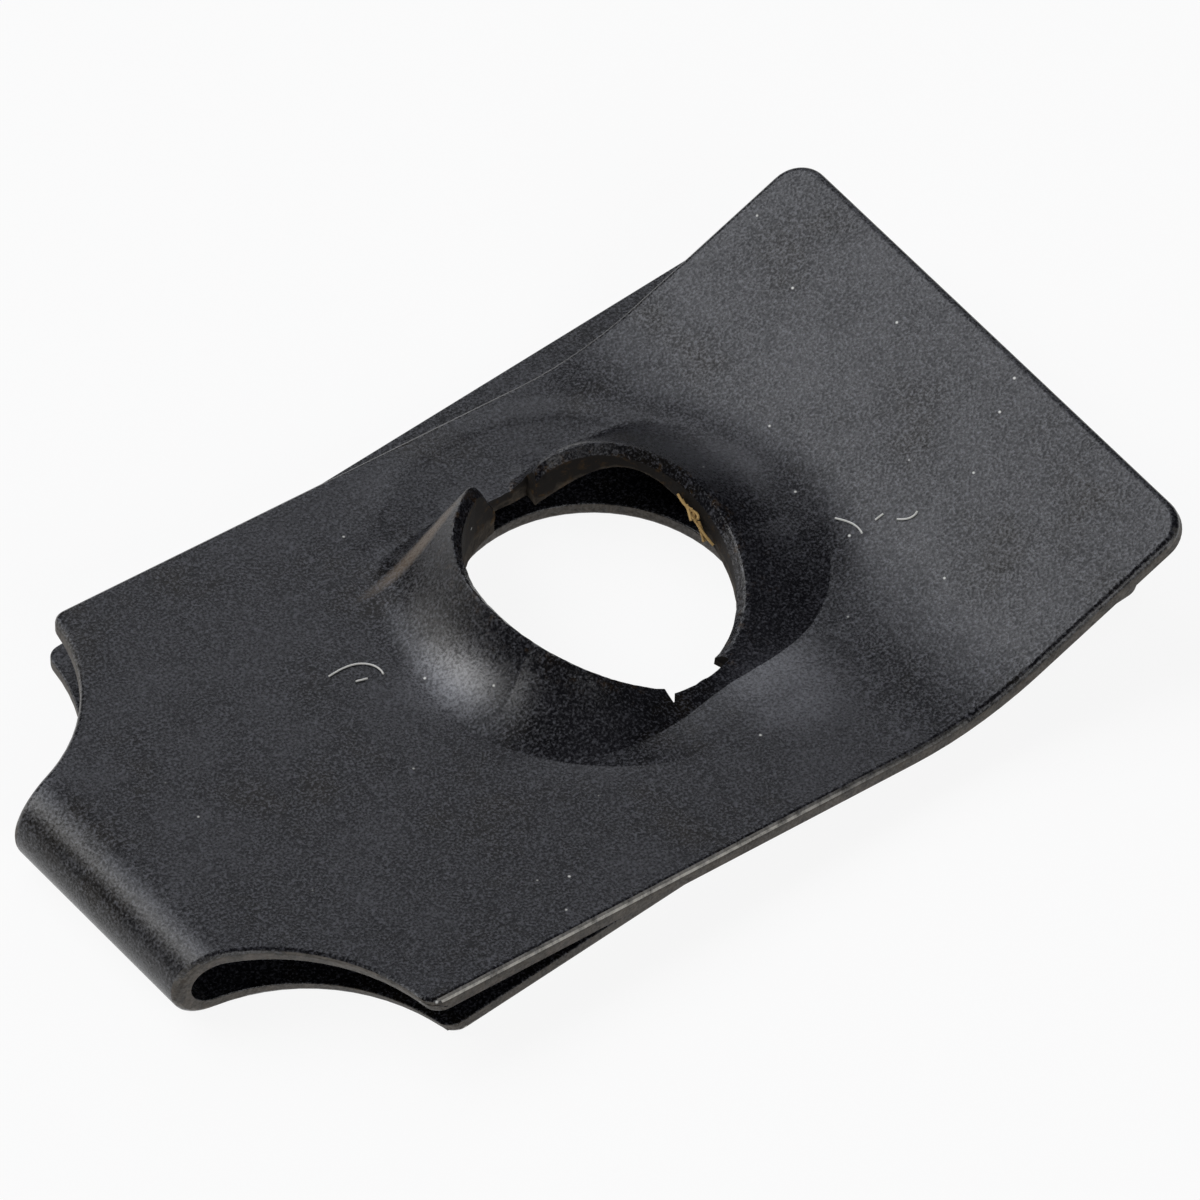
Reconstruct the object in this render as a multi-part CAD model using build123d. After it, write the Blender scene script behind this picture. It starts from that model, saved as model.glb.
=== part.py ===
from build123d import *
from math import cos, pi, radians, sin, sqrt, tan
import os

# U clip speed nut: one strip of spring steel folded back on itself, in millimetres.
# +X runs from the fold to the free end, +Z is the screw axis, and the origin is the centre of
# the clearance hole on the underside of the lower leaf. The leaves lie slightly askew, because
# the fold line is not quite square to the strip.

# The strip and its fold
SHEET = 0.5  # thickness
WIDTH = 16.7  # across both leaves
FOLD_X = -16.07  # axis of the fold
FOLD_RADIUS = 1.3  # outside of the fold
SKEW = 3.5  # degrees between the leaves in plan
LOWER_END_X = 12.5  # free end of the lower leaf
LOWER_SHIFT = 0.1  # the lower leaf lies this much to the far side, +Y, of its own hole

# The upper leaf, seen from the side
PANEL_FALL = 3.4  # degrees it comes down towards the lower leaf
BEND_X = 3.1  # where it starts to turn up
BEND_RADIUS = 8.5  # of the top surface in the bend
FLARE_RISE = 24.2  # degrees of the lead-in
FLARE_END = 28.57  # from the fold's axis to the tip of the top surface

# Corners and the half-round reliefs beside the fold
UPPER_CORNER = 0.95
LOWER_CORNER = 0.7
NOTCH_CORNER = 0.45  # where a relief meets a long edge
NOTCH_RADIUS = 5.28
NOTCH_OUTSET = 0.4  # from the long edge out to the centre of the relief
NOTCH_SHIFT = 0.28  # both reliefs sit this much towards the lower leaf

# The holes
CLEARANCE_RADIUS = 4.17
THREAD_RADIUS = 3.7

# The impression round the thread opening, raised out of the upper leaf
FOOT_RADIUS = 6.4
CREST_RADIUS = 3.95  # of the lip's top edge
LIP_CHAMFER_FALL = 0.3  # of the cut face between the crest and the opening
CREST_ROUNDING = 0.06
SKIRT_SHARE = 0.6  # straight cone in the flank, while the rest of it curves in
SKIRT_POWER = 2.2
SOFT_FOOT = 160.0  # direction where the foot melts into the sheet
SOFT_FOOT_NEAR, SOFT_FOOT_FAR = 15.0, 55.0  # degrees off it where the crease starts and is whole
FOOT_WITNESS = 0.02  # step the forming punch leaves at the foot

# The prong on the fold side: it climbs fast from the near slot and ends at a straight shoulder
FOLD_PRONG_LIP = 1.88  # height of its crest above the sheet's top
FOLD_PRONG_CLIMB = 85.0  # degrees
FOLD_PRONG_END = 101.0  # middle of its end face, by direction
FOLD_PRONG_SLOPE = 11.0  # degrees either way
SHOULDER_START, SHOULDER_END = 3.7, 4.6  # of the shoulder, across the strip

# The prong on the free side: it climbs slowly, and droops towards the far slot
FREE_PRONG_LIP = 1.74
FREE_PRONG_CLIMB = 120.0
FREE_PRONG_EASE = 2.2  # above 1 the climb starts gently
FREE_PRONG_DROOP = 52.0  # degrees past its top where it would reach the sheet again
FREE_PRONG_END = 79.0  # middle of the torn end, which drops over
FREE_PRONG_TEAR = 6.0  # degrees either way

# The underside follows the lip most where the metal is drawn thinnest
UNDERSIDE_SHARE = 0.8
UNDERSIDE_AXIS = 33.0  # direction of that place in one prong; the other lies opposite
UNDERSIDE_POWER = 4

# The two slots that part the prongs, by direction in degrees from +X
FAR_SLOT = 87.0
FAR_SLOT_HALF = 11.0
FAR_SLOT_RADIUS = 4.25
NEAR_SLOT = -89.0
NEAR_SLOT_HALF = 14.5
NEAR_SLOT_RADIUS = 4.15
BRIDGE = 4.0  # degrees either side of a slot's middle where the sheet stays as it was
NICK_WIDTH = 0.2  # torn back at one corner of the near slot
NICK_RADIUS = 4.45

# Sizes that follow
HALF = WIDTH / 2
FOLD_TURN = SKEW / 2
FOLD_PLACE = Location((FOLD_X, 0, 0), (0, 0, -FOLD_TURN))
OVERRUN = 2.0  # that raw pieces stand past the faces that trim them
AMPLE = 3  # times a size, for a cutter that reaches well past what it cuts
FORM_TURNS, FORM_RINGS = 72, 24  # points that carry each formed surface round and across
FORM_PACKING = 1.3  # above 1 the rings lie closer near the opening
FORM_OVERHANG = 0.5  # that a formed surface runs past the foot
FORM_UNDERHANG = 0.2  # and into the opening
FORM_MARGIN = 6  # degrees it runs past its half
FORM_TOLERANCE = 0.015


def upper_surface():
    """The top surface of the upper leaf from the outermost line of the fold to the tip."""
    fold = JernArc((-FOLD_RADIUS, FOLD_RADIUS), (0, 1), FOLD_RADIUS, -90 - PANEL_FALL)
    run = (BEND_X - FOLD_X - (fold @ 1).X) / cos(radians(PANEL_FALL))
    panel = Line(fold @ 1, fold @ 1 + (fold % 1) * run)
    bend = JernArc(panel @ 1, panel % 1, BEND_RADIUS, PANEL_FALL + FLARE_RISE)
    reach = (FLARE_END - (bend @ 1).X) / cos(radians(FLARE_RISE))
    flare = Line(bend @ 1, bend @ 1 + (bend % 1) * reach)
    return fold, panel, bend, flare


def lower_surface():
    """The underside of the lower leaf from the outermost line of the fold to its end."""
    fold = JernArc((-FOLD_RADIUS, FOLD_RADIUS), (0, -1), FOLD_RADIUS, 90)
    leaf = Line(fold @ 1, (LOWER_END_X - FOLD_X, 0))
    return fold, leaf


BEND = upper_surface()[2]
BEND_START, BEND_END, BEND_CENTRE = BEND @ 0, BEND @ 1, BEND.arc_center
CLEAR_HEIGHT = BEND_START.Y / 2  # in the gap between the leaves
TOOL_LENGTH = FOOT_RADIUS * AMPLE  # of the cutters that shape the impression


def leaf_blank(surface, side):
    """A surface line run on a little, given the sheet's thickness and drawn out across."""
    last = surface[-1]
    run_on = Line(last @ 1, last @ 1 + (last % 1) * OVERRUN)
    outline = offset(Wire(surface + (run_on,)), amount=SHEET, side=side)
    return extrude(Plane.XZ * make_face(outline), amount=HALF + OVERRUN, both=True)


def leaf_trim(end, lean, turn, corner):
    """The space a leaf fills: its long edges and its end, square to its own length."""
    normal = Vector(-sin(radians(lean)), cos(radians(lean)))
    length = Vector(normal.Y, -normal.X) * WIDTH * AMPLE
    low, high = end - normal * WIDTH, end + normal * WIDTH
    side = make_face(Polyline(low, high, high - length, low - length, close=True))
    block = extrude(Plane.XZ * side, amount=HALF, both=True)
    corners = block.faces().sort_by(Axis.X)[-1].edges().filter_by(Axis.Y, reverse=True)
    return Location((0, 0, 0), (0, 0, turn)) * fillet(corners, corner)


def notch(side):
    """One relief. It leans, since the same round cut in the strip wraps over both leaves."""
    quarter = (FOLD_RADIUS - SHEET / 2) * pi / 2
    shift = NOTCH_SHIFT - side * HALF * sin(radians(FOLD_TURN))
    lean = Vector(-shift, 0, FOLD_RADIUS - SHEET / 2)
    start = Vector(-quarter, side * (HALF + NOTCH_OUTSET), FOLD_RADIUS) - lean * AMPLE
    disc = Plane(start) * Circle(NOTCH_RADIUS)
    return extrude(disc, amount=lean.length * AMPLE * 2, dir=lean)


def at_notch_corner(edge):
    """Tells the short upright edges where a relief meets a long edge."""
    middle = edge.center()
    in_reach = middle.X < NOTCH_RADIUS and HALF - abs(middle.Y) < SHEET
    return in_reach and edge.length < 2 * SHEET


def folded_strip():
    """Both leaves joined at the outermost line of the fold, in the frame of the part."""
    top, under = upper_surface(), lower_surface()
    upper_space = leaf_trim(top[-1] @ 1, FLARE_RISE, -FOLD_TURN, UPPER_CORNER)
    lower_space = leaf_trim(under[-1] @ 1, 0, FOLD_TURN, LOWER_CORNER)
    upper = leaf_blank(top, Side.RIGHT) & upper_space
    lower = leaf_blank(under, Side.LEFT) & Pos(0, LOWER_SHIFT, 0) * lower_space
    strip = upper + lower - notch(1) - notch(-1)
    corners = strip.edges().filter_by(at_notch_corner)
    return FOLD_PLACE * fillet(corners, NOTCH_CORNER)


def smooth(value, start, end):
    """Eases from 0 at start to 1 at end."""
    share = min(max((value - start) / (end - start), 0), 1)
    return share * share * (3 - 2 * share)


def sheet_height(x, y, inset):
    """Height of the upper leaf's top surface, or of one parallel to it at a depth of inset."""
    turn, fall, rise = radians(FOLD_TURN), radians(PANEL_FALL), radians(FLARE_RISE)
    along = (x - FOLD_X) * cos(turn) - y * sin(turn)
    if along < BEND_START.X - inset * sin(fall):
        return BEND_START.Y - inset / cos(fall) - (along - BEND_START.X) * tan(fall)
    if along > BEND_END.X + inset * sin(rise):
        return BEND_END.Y - inset / cos(rise) + (along - BEND_END.X) * tan(rise)
    return BEND_CENTRE.Y - sqrt((BEND_RADIUS + inset) ** 2 - (along - BEND_CENTRE.X) ** 2)


def lip_height(direction):
    """Height of the crest above the sheet in one direction, before the far end of a prong."""
    climbed = (direction - NEAR_SLOT) % 360 - NEAR_SLOT_HALF
    if climbed < 180 - NEAR_SLOT_HALF:
        past = max(climbed - FREE_PRONG_CLIMB, 0) / FREE_PRONG_DROOP
        climb = sin(min(max(climbed, 0) / FREE_PRONG_CLIMB, 1) * pi / 2) ** FREE_PRONG_EASE
        torn = smooth(direction, FREE_PRONG_END - FREE_PRONG_TEAR, FREE_PRONG_END + FREE_PRONG_TEAR)
        return FREE_PRONG_LIP * climb * max(cos(past * pi / 2), 0) * (1 - torn)
    climbed = 360 - NEAR_SLOT_HALF * 2 - climbed
    whole = smooth(direction, FOLD_PRONG_END - FOLD_PRONG_SLOPE, FOLD_PRONG_END + FOLD_PRONG_SLOPE)
    return FOLD_PRONG_LIP * sin(min(max(climbed, 0) / FOLD_PRONG_CLIMB, 1) * pi / 2) * whole


def raised(direction, radius, y):
    """Rise of the flank above the sheet. It ends at the shoulder on the fold side."""
    share = (FOOT_RADIUS - radius) / (FOOT_RADIUS - CREST_RADIUS)
    off_soft = abs((direction - SOFT_FOOT + 180) % 360 - 180)
    skirt = SKIRT_SHARE * smooth(off_soft, SOFT_FOOT_NEAR, SOFT_FOOT_FAR)
    flank = skirt * share + (1 - skirt) * max(share, 0) ** SKIRT_POWER
    return lip_height(direction) * flank * (1 - smooth(y, SHOULDER_START, SHOULDER_END))


def top_rise(direction, radius, y):
    """Rise of the top: the flank, then past the crest the cut face that falls to the opening."""
    flank = raised(direction, radius, y) - FOOT_WITNESS
    slope = LIP_CHAMFER_FALL / (CREST_RADIUS - THREAD_RADIUS)
    cut = raised(direction, CREST_RADIUS, y) + (radius - CREST_RADIUS) * slope
    return (flank + cut - sqrt((flank - cut) ** 2 + CREST_ROUNDING**2)) / 2


def under_rise(direction, radius, y):
    """Rise of the underside of the impression."""
    share = UNDERSIDE_SHARE * cos(radians(direction - UNDERSIDE_AXIS)) ** UNDERSIDE_POWER
    return raised(direction, radius, y) * share + FOOT_WITNESS


def formed_face(start, end, inset, rise):
    """The top or the underside of one half of the impression, run a little past its edges."""
    inner, outer = THREAD_RADIUS - FORM_UNDERHANG, FOOT_RADIUS + FORM_OVERHANG
    rows = []
    for i in range(FORM_TURNS + 1):
        direction = start - FORM_MARGIN + (end - start + 2 * FORM_MARGIN) * i / FORM_TURNS
        row = []
        for j in range(FORM_RINGS + 1):
            radius = inner + (outer - inner) * (j / FORM_RINGS) ** FORM_PACKING
            x, y = radius * cos(radians(direction)), radius * sin(radians(direction))
            row.append(Vector(x, y, sheet_height(x, y, inset) + rise(direction, radius, y)))
        rows.append(row)
    return Face.make_surface_from_array_of_points(rows, tol=FORM_TOLERANCE)


def sector(radius, start, end):
    """A tall wedge about the screw axis that stands clear of the lower leaf."""
    rim = CenterArc((0, 0), radius, start, end - start)
    wedge = make_face([Line((0, 0), rim @ 0), rim, Line(rim @ 1, (0, 0))])
    return Pos(0, 0, CLEAR_HEIGHT) * extrude(wedge, amount=FOOT_RADIUS)


def formed_half(start, end):
    """Half of the impression, from one slot round to the other."""
    half = sector(FOOT_RADIUS, start, end) - Cylinder(THREAD_RADIUS, TOOL_LENGTH * 2)
    half -= extrude(formed_face(start, end, 0, top_rise), amount=TOOL_LENGTH, dir=(0, 0, 1))
    under = formed_face(start, end, SHEET, under_rise)
    return half - extrude(under, amount=TOOL_LENGTH, dir=(0, 0, -1))


def slots():
    """What the two slots and the torn nick take away."""
    far = sector(FAR_SLOT_RADIUS, FAR_SLOT - FAR_SLOT_HALF, FAR_SLOT + FAR_SLOT_HALF)
    near = sector(NEAR_SLOT_RADIUS, NEAR_SLOT - NEAR_SLOT_HALF, NEAR_SLOT + NEAR_SLOT_HALF)
    nick = Box(NICK_RADIUS, NICK_WIDTH, FOOT_RADIUS, align=(Align.MIN, Align.CENTER, Align.MIN))
    corner = Location((0, 0, CLEAR_HEIGHT), (0, 0, NEAR_SLOT - NEAR_SLOT_HALF))
    return far + near + corner * nick


def clip():
    """The whole clip as one solid."""
    body = folded_strip() - Cylinder(CLEARANCE_RADIUS, SHEET * AMPLE)
    free_side = NEAR_SLOT + BRIDGE, FAR_SLOT - BRIDGE
    fold_side = FAR_SLOT + BRIDGE, NEAR_SLOT + 360 - BRIDGE
    for start, end in (free_side, fold_side):
        body = body - sector(FOOT_RADIUS, start, end) + formed_half(start, end)
    return body - slots()


part = clip()
if __name__ == "__main__":
    os.makedirs("parts", exist_ok=True)
    export_step(part, "parts/clip.step")
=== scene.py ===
"""Looks of the folded clip nut: one piece of black phosphated spring steel on a pale floor."""

import logging
import math
from dataclasses import dataclass, field
from enum import Enum
from typing import Any, Iterable, NamedTuple, Optional

import bmesh
import bpy
from mathutils import Matrix, Vector, noise
from mathutils.bvhtree import BVHTree
from mathutils.kdtree import KDTree

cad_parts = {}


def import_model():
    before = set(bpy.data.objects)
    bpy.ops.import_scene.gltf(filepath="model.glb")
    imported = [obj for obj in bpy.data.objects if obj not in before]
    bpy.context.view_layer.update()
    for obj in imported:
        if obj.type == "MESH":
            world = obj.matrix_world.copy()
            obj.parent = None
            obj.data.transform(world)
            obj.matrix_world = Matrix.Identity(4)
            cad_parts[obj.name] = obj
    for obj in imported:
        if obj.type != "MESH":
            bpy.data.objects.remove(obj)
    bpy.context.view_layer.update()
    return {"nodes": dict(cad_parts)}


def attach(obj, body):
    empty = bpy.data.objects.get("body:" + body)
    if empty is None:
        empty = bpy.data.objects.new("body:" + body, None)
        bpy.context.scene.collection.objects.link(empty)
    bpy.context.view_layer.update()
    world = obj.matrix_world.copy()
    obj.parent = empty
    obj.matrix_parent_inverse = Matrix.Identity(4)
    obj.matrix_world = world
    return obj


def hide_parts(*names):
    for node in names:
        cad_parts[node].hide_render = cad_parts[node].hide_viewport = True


logging.basicConfig(level=logging.INFO, format="%(message)s")
LOG = logging.getLogger("clip_nut")

MM = 0.001  # metres in a millimetre
FOOT = 6.4  # mm, radius of the foot of the impression
WHITE = "#ffffff"
NODE = "clip"
WALL_HEIGHT = "wall_height"  # mark on the corners of the opening's walls, from 0 below to 1
COLOUR_A, COLOUR_B, COLOUR_OUT = 6, 7, 2  # places on a Mix node that mixes colours
NUMBER_A, NUMBER_B = 2, 3  # places on a Mix node that mixes numbers

Place = tuple[float, float, float]
Socket = bpy.types.NodeSocket
Tree = bpy.types.NodeTree


class Layer(Enum):
    """Marks on the faces of the nut. The finish reads the first four."""

    CUT = "cut_face"
    ROLLED = "rolled_edge"
    TORN = "torn_metal"
    INNER = "inner_wall"
    FORMED = "formed_side"
    BEVEL = "bevel"


class Ramp(NamedTuple):
    """A value that changes evenly with another one, and is held past both ends."""

    start: float
    end: float
    at_start: float = 0.0
    at_end: float = 1.0

    def inputs(self, value: Socket) -> dict[int | str, Any]:
        """Sets out the ramp of a value as inputs in their order."""
        return dict(enumerate((value, *self)))


class Pattern(NamedTuple):
    """A noise, scaled from the real size of what it stands for."""

    size: float  # mm
    detail: float
    roughness: float

    def inputs(self, in_mm: Socket) -> dict[int | str, Any]:
        """Sets out the pattern's inputs for a place in millimetres."""
        return {"Vector": in_mm, "Scale": 1 / self.size, "Detail": self.detail,
                "Roughness": self.roughness}


class ScuffHighlight(NamedTuple):
    """A patch where handling burnished the coat, its paler colour partly a painted highlight."""

    place: Place  # mm
    reach: float  # mm from its middle to its edge


def linear(colour: str) -> tuple[float, float, float, float]:
    """Turns an sRGB hex colour to linear.

    Args:
        colour: Six hex digits after a hash.

    Returns:
        Red, green, blue and an alpha of 1.
    """
    parts = [int(colour[i : i + 2], 16) / 255 for i in (1, 3, 5)]
    red, green, blue = (c / 12.92 if c <= 0.04045 else ((c + 0.055) / 1.055) ** 2.4 for c in parts)
    return red, green, blue, 1.0


def add_node(tree: Tree, kind: str, inputs: dict[int | str, Any], out: int | str = 0,
             **settings: Any) -> Optional[Socket]:
    """Adds a node with its settings and its links.

    Args:
        tree: The node tree it goes into.
        kind: The node's type name, without ShaderNode.
        inputs: Values, or output sockets to link, by the input's name or place.
        out: Name or place of the output that is wanted.
        settings: Properties of the node itself.

    Returns:
        The wanted output, or None for a node without outputs.
    """
    node = tree.nodes.new("ShaderNode" + kind)
    for name, value in settings.items():
        setattr(node, name, value)
    for place, value in inputs.items():
        if isinstance(value, bpy.types.NodeSocket):
            tree.links.new(value, node.inputs[place])
        else:
            node.inputs[place].default_value = value
    return node.outputs[out] if node.outputs else None


def new_material(name: str) -> bpy.types.Material:
    """Makes a material with an empty node tree.

    Args:
        name: The material's name.

    Returns:
        The new material.
    """
    material = bpy.data.materials.new(name)
    material.use_nodes = True
    material.node_tree.nodes.clear()
    return material


@dataclass(frozen=True)
class PhosphatedSteel:
    """Spring steel with an oiled black phosphate coat.

    The coat is a crust of fine crystals soaked with oil. The eye gets a near-black that is
    slightly blue, with a broad satin sheen and a grain like fine sand. The cut faces take the
    coat thinly, so they are rougher and brown-grey, and the rolled edges beside them are rubbed
    almost bare, with a painted glint. The opening's walls carry painted shade, a brow carries a
    painted highlight, and the burnished patches are partly a painted highlight.

    The noises run from 0 to 1. A ramp is named for the noise it follows and what it gives.
    """

    name: str = "black_phosphated_spring_steel"

    coat: str = "#08080b"
    coat_pale: str = "#15151a"
    oil: str = "#252018"
    crystal_pale: str = "#55565e"
    cut: str = "#4e473f"
    cut_dark: str = "#221e19"
    # Painted shade: the opening's walls, drawn far darker than the other cut faces.
    inner: str = "#1a1613"
    # Pale bare metal of the rubbed edges, which also paints their glint.
    rubbed_and_glint: str = "#d2cec6"
    # Painted highlight on the fold-side prong's far brow.
    ridge_highlight: str = "#6a5f54"
    tan: str = "#8a6a3c"
    speck: str = "#dddcd8"

    # Real crystals are about 0.02 mm. They are drawn coarser, so that they show.
    crystal: Pattern = Pattern(0.075, 3.0, 0.65)
    cloud: Pattern = Pattern(2.6, 5.0, 0.65)  # handling marks in the oil
    streak: Pattern = Pattern(0.35, 6.0, 0.75)  # left by the punch in the cut faces
    grain_depth: float = 0.012  # mm

    cloud_black: Ramp = Ramp(0.35, 0.65)  # share of the paler black
    cloud_oil: Ramp = Ramp(0.45, 0.3, 0.0, 0.5)  # share of oil
    grain_crystals: Ramp = Ramp(0.52, 0.7, 0.0, 0.75)  # share of pale crystals

    grain_roughness: Ramp = Ramp(0.35, 0.65, 0.17, 0.39)
    cloud_roughness: Ramp = Ramp(0.3, 0.7, -0.04, 0.06)  # comes on top of the grain's
    cut_roughness: float = 0.6
    inner_roughness: float = 0.85
    grain_sheen: Ramp = Ramp(0.38, 0.62, 0.24, 0.73)  # specular level
    cloud_sheen: Ramp = Ramp(0.34, 0.66, -0.09, 0.11)  # comes on top of the grain's
    inner_sheen: float = 0.2

    # Burnished patches on the fold side's flank, the fold's far end and the near lip of the
    # impression's foot. Their paler colour is partly a painted highlight.
    scuffs_and_highlights: tuple[ScuffHighlight, ...] = (ScuffHighlight((-5.4, -0.2, 2.2), 1.7), ScuffHighlight((-16.6, 5.2, 2.6), 2.6),
                                 ScuffHighlight((1.6, -5.5, 1.55), 2.2))
    scuff_highlight_core: float = 0.25  # share of the reach within which a patch is in full
    scuff_highlight_pale: float = 0.3  # share of pale crystals that it adds, partly as a painted highlight
    scuff_sheen: float = 0.5  # specular level that it adds
    cloud_scuff_highlight: Ramp = Ramp(0.35, 0.6, 0.45, 1.0)
    grain_scuff_highlight: Ramp = Ramp(0.38, 0.62, 0.45, 1.45)

    ridge_highlight_place: Place = (-3.45, 3.58, 2.75)  # mm, middle of a painted highlight on the fold-side prong's far brow
    ridge_highlight_reach: Place = (2.0, 0.24, 1.6)  # mm each way
    ridge_highlight_ragged: float = 0.7  # how far the grain frays it, as a share of its reach
    ridge_highlight_fade: Ramp = Ramp(1.5, 0.8, 0.0, 0.9)  # from its edge to its middle

    streak_cut: Ramp = Ramp(0.36, 0.6)  # share of the paler metal on a cut face
    streak_wear_glint: Ramp = Ramp(0.34, 0.56, 0.25, 1.0)  # wear and painted glint of the rolled edges
    along_wear_glint: Ramp = Ramp(2.5, -2.0, 0.2, 1.0)  # over mm of X, fading the rubbed colour and its painted glint towards the free end
    streak_tan: Ramp = Ramp(0.55, 0.66, 0.0, 0.6)  # stains on the torn metal
    # Height on the opening's walls, frayed by the streaks, below which they keep the cut faces'
    # colour instead of the painted shade.
    low_wall_ramp: Ramp = Ramp(0.67, 0.59)
    low_wall_ragged: float = 0.6

    speck_spacing: float = 0.8  # mm between dust specks
    speck_edge: Ramp = Ramp(0.03, 0.065, 1.0, 0.0)  # over shares of the spacing
    speck_gaps: float = 0.68  # share of the places where a speck could lie that stay empty

    foot: float = FOOT
    draw: float = 1.1  # mm past the foot over which the sheet was drawn along
    draw_power: float = 2.0  # how fast that ends
    draw_up: float = 0.15  # mm that it was drawn up, most towards the free end's far corner
    draw_in: float = 0.07  # mm that it was drawn down, most towards the near edge
    up_heading: float = 40.0  # degrees from +X
    in_heading: float = -86.0
    up_spread: Ramp = Ramp(0.0, 0.5)  # over the cosine of the angle from the heading
    in_spread: Ramp = Ramp(0.3, 1.0)
    near_flank: float = 0.3  # slope of the flank beside the near slot
    foot_run_in: float = 1.7  # mm that the foot runs in towards the near slot
    run_in_power: float = 3.0  # how closely that keeps to the slot
    leaf_gap: Ramp = Ramp(0.7, 0.9)  # over mm up, from the lower leaf to the upper one

    def build(self) -> bpy.types.Material:
        """Builds the material.

        Returns:
            The finished material.
        """
        material = new_material(self.name)
        tree = material.node_tree
        place = add_node(tree, "TexCoord", {}, "Object")
        in_mm = add_node(tree, "VectorMath", {0: place, "Scale": 1 / MM}, operation="SCALE")
        grain = add_node(tree, "TexNoise", self.crystal.inputs(in_mm))
        cloud = add_node(tree, "TexNoise", self.cloud.inputs(in_mm))
        marks = {layer: add_node(tree, "Attribute", {}, "Fac", attribute_name=layer.value)
                 for layer in (Layer.CUT, Layer.ROLLED, Layer.TORN, Layer.INNER)}
        scuff_and_highlight = self.burnish_and_highlight(tree, in_mm, grain, cloud)
        coat = self.coat_colour(tree, in_mm, grain, cloud)
        # The burnished patches are paler, partly as a painted highlight.
        share = add_node(tree, "Math", {0: scuff_and_highlight, 1: self.scuff_highlight_pale}, operation="MULTIPLY")
        pale = {0: share, COLOUR_A: coat, COLOUR_B: linear(self.crystal_pale)}
        coat = add_node(tree, "Mix", pale, COLOUR_OUT, data_type="RGBA")
        colour = self.edge_colour(tree, in_mm, coat, marks)
        dust = {0: self.specks(tree, in_mm), COLOUR_A: colour, COLOUR_B: linear(self.speck)}
        colour = add_node(tree, "Mix", dust, COLOUR_OUT, data_type="RGBA")
        height = {0: grain, 1: self.grain_depth, 2: self.drawn_foot(tree, in_mm)}
        height = add_node(tree, "Math", height, operation="MULTIPLY_ADD")
        bump = add_node(tree, "Bump", {"Strength": 1.0, "Distance": MM, "Height": height})
        shader = add_node(tree, "BsdfPrincipled", {
            "Base Color": colour,
            "Roughness": self.surface_roughness(tree, grain, cloud, marks),
            "Specular IOR Level": self.surface_sheen(tree, grain, cloud, scuff_and_highlight, marks),
            "Normal": bump,
        })
        add_node(tree, "OutputMaterial", {"Surface": shader})
        return material

    def surface_roughness(self, tree: Tree, grain: Socket, cloud: Socket,
                          marks: dict[Layer, Socket]) -> Socket:
        """Makes the roughness: satin on the coat, rougher where the steel was cut.

        Args:
            tree: The material's node tree.
            grain: The crystals' noise.
            cloud: The clouds' noise.
            marks: Where each kind of edge is.

        Returns:
            The roughness.
        """
        fine = add_node(tree, "MapRange", self.grain_roughness.inputs(grain))
        soft = add_node(tree, "MapRange", self.cloud_roughness.inputs(cloud))
        coat = add_node(tree, "Math", {0: fine, 1: soft}, operation="ADD")
        rough = add_node(tree, "Mix", {0: marks[Layer.CUT], NUMBER_A: coat,
                                       NUMBER_B: self.cut_roughness})
        return add_node(tree, "Mix", {0: marks[Layer.INNER], NUMBER_A: rough,
                                      NUMBER_B: self.inner_roughness})

    def surface_sheen(self, tree: Tree, grain: Socket, cloud: Socket, scuff_and_highlight: Socket,
                      marks: dict[Layer, Socket]) -> Socket:
        """Makes the specular level: sparkling on the coat, raised on scuffs, low in the opening.

        Args:
            tree: The material's node tree.
            grain: The crystals' noise.
            cloud: The clouds' noise.
            scuff_and_highlight: Mask of the burnished patches, which also carry a painted
                highlight.
            marks: Where each kind of edge is.

        Returns:
            The specular level.
        """
        fine = add_node(tree, "MapRange", self.grain_sheen.inputs(grain))
        soft = add_node(tree, "MapRange", self.cloud_sheen.inputs(cloud))
        coat = add_node(tree, "Math", {0: fine, 1: soft}, operation="ADD")
        sheen = add_node(tree, "Math", {0: scuff_and_highlight, 1: self.scuff_sheen, 2: coat},
                         operation="MULTIPLY_ADD")
        return add_node(tree, "Mix", {0: marks[Layer.INNER], NUMBER_A: sheen,
                                      NUMBER_B: self.inner_sheen})

    def drawn_foot(self, tree: Tree, in_mm: Socket) -> Socket:
        """Makes the height in mm of the sheet's slight draw at the foot of the impression.

        The sheet is drawn up past the foot on the free end's side. On the near side the foot runs
        in towards the slot, the flank rises from there, and the sheet before it is drawn down.

        Args:
            tree: The material's node tree.
            in_mm: The place in millimetres.

        Returns:
            The height.
        """
        plan = add_node(tree, "VectorMath", {0: in_mm, 1: (1.0, 1.0, 0.0)}, operation="MULTIPLY")
        radius = add_node(tree, "VectorMath", {0: plan}, "Value", operation="LENGTH")
        heading = add_node(tree, "VectorMath", {0: plan}, operation="NORMALIZE")
        sides = []
        for degrees, spread in ((self.up_heading, self.up_spread),
                                (self.in_heading, self.in_spread)):
            way = (math.cos(math.radians(degrees)), math.sin(math.radians(degrees)), 0.0)
            along = add_node(tree, "VectorMath", {0: heading, 1: way}, "Value",
                             operation="DOT_PRODUCT")
            sides.append(add_node(tree, "MapRange", spread.inputs(along)))
        up_side, near_side = sides
        run_in = add_node(tree, "Math", {0: near_side, 1: self.run_in_power}, operation="POWER")
        near_foot = add_node(tree, "Math", {0: run_in, 1: -self.foot_run_in, 2: self.foot},
                             operation="MULTIPLY_ADD")
        height = 0.0
        for foot, side, rise in ((self.foot, up_side, self.draw_up),
                                 (near_foot, near_side, -self.draw_in)):
            past = add_node(tree, "Math", {0: radius, 1: foot}, operation="SUBTRACT")
            past = add_node(tree, "MapRange", Ramp(0.0, self.draw, 1.0, 0.0).inputs(past))
            past = add_node(tree, "Math", {0: past, 1: self.draw_power}, operation="POWER")
            share = add_node(tree, "Math", {0: side, 1: rise}, operation="MULTIPLY")
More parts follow.
